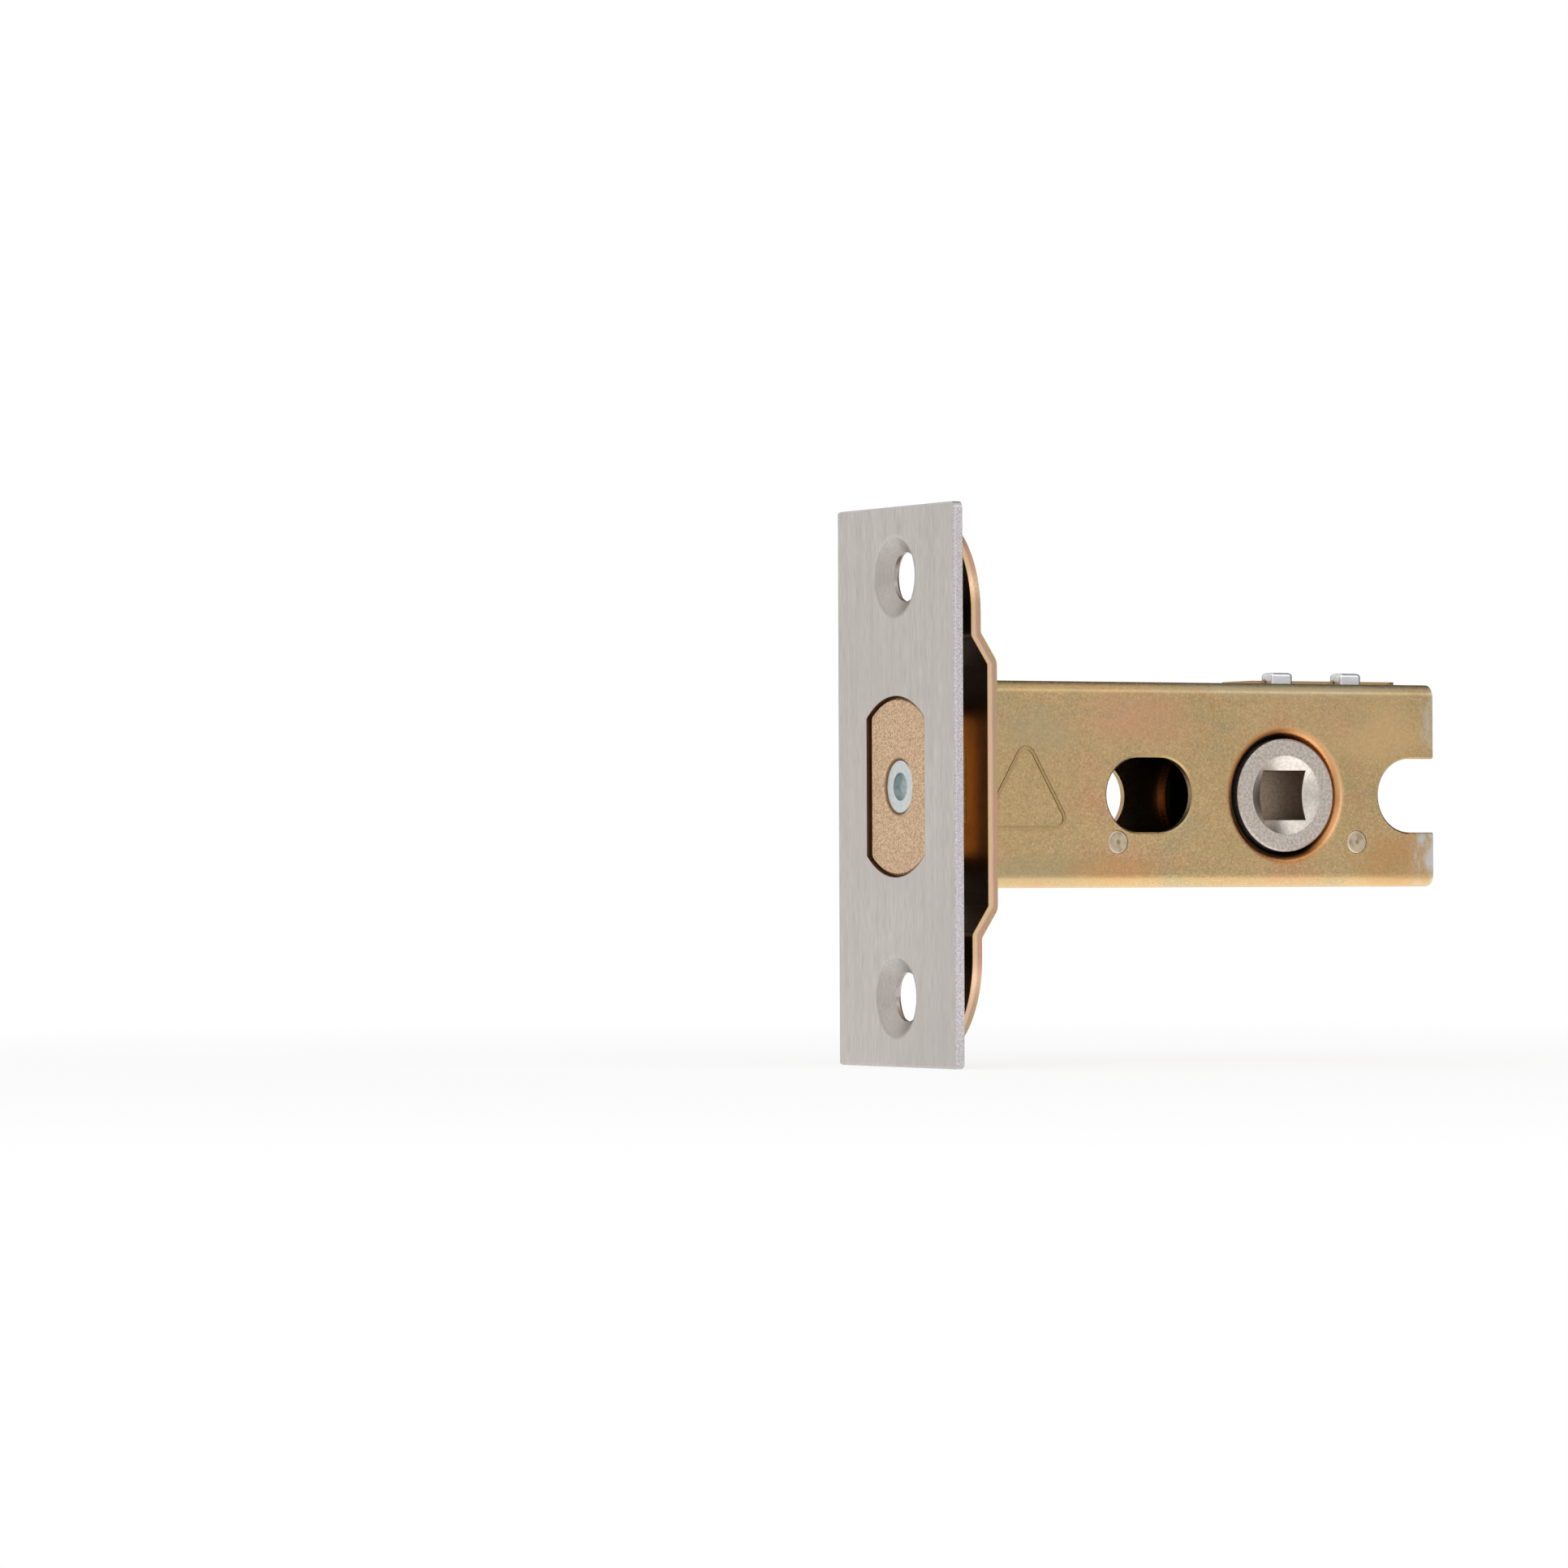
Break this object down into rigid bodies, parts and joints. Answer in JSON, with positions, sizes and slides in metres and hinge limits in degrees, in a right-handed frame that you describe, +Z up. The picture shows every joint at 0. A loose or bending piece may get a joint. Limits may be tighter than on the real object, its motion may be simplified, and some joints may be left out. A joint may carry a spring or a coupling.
{
  "type": "tubular deadbolt",
  "caption": "Mortice deadbolt with a flatted brass bolt in a folded sheet case, thrown and drawn back by a square spindle through its follower.",
  "frame": {"origin": "centre of the faceplate's front face, on the axis of the bolt", "axes": "+X from the faceplate back along the case, +Y across the case, +Z up"},
  "size_m": [0.0636, 0.0254, 0.06],
  "materials": {
    "satin_stainless": "stainless steel brushed along its height",
    "yellow_passivate": "zinc plated steel sheet, yellow passivated",
    "sintered_brass": "sintered brass, fine matt grain",
    "clear_zinc": "steel rivet, blue zinc plate",
    "sintered_steel": "sintered steel, oiled",
    "satin_nickel": "turned steel, satin nickel plate",
    "dull_zinc": "steel pin, dull zinc plate",
    "bright_zinc": "steel keeper plate with studs, bright zinc plate",
    "spring_steel": "bare spring steel"
  },
  "bodies": {
    "lock_case": {"faceplate": "satin_stainless", "forend_plate": "yellow_passivate", "case": "yellow_passivate", "stop_pin": "dull_zinc", "guide_pin": "dull_zinc", "spring_keeper": "bright_zinc", "detent_spring": "spring_steel"},
    "bolt": {"bolt_head": "sintered_brass", "bolt_pin": "clear_zinc", "bolt_tail": "sintered_steel"},
    "follower": {"follower": "satin_nickel"}
  },
  "joints": [
    {"name": "follower_turn", "type": "hinge", "parent": "lock_case", "child": "follower", "pos_m": [0.04445, 0, -0.0009], "axis": [0, -1, 0], "range_deg": [0, 90]},
    {"name": "bolt_slide", "type": "slide", "parent": "lock_case", "child": "bolt", "axis": [-1, 0, 0], "range_m": [0, 0.0116], "deforming": ["detent_spring"]}
  ],
  "couplings": [
    {"joint": "follower_turn", "follows": "bolt_slide", "rad_per_m": 135.44}
  ]
}
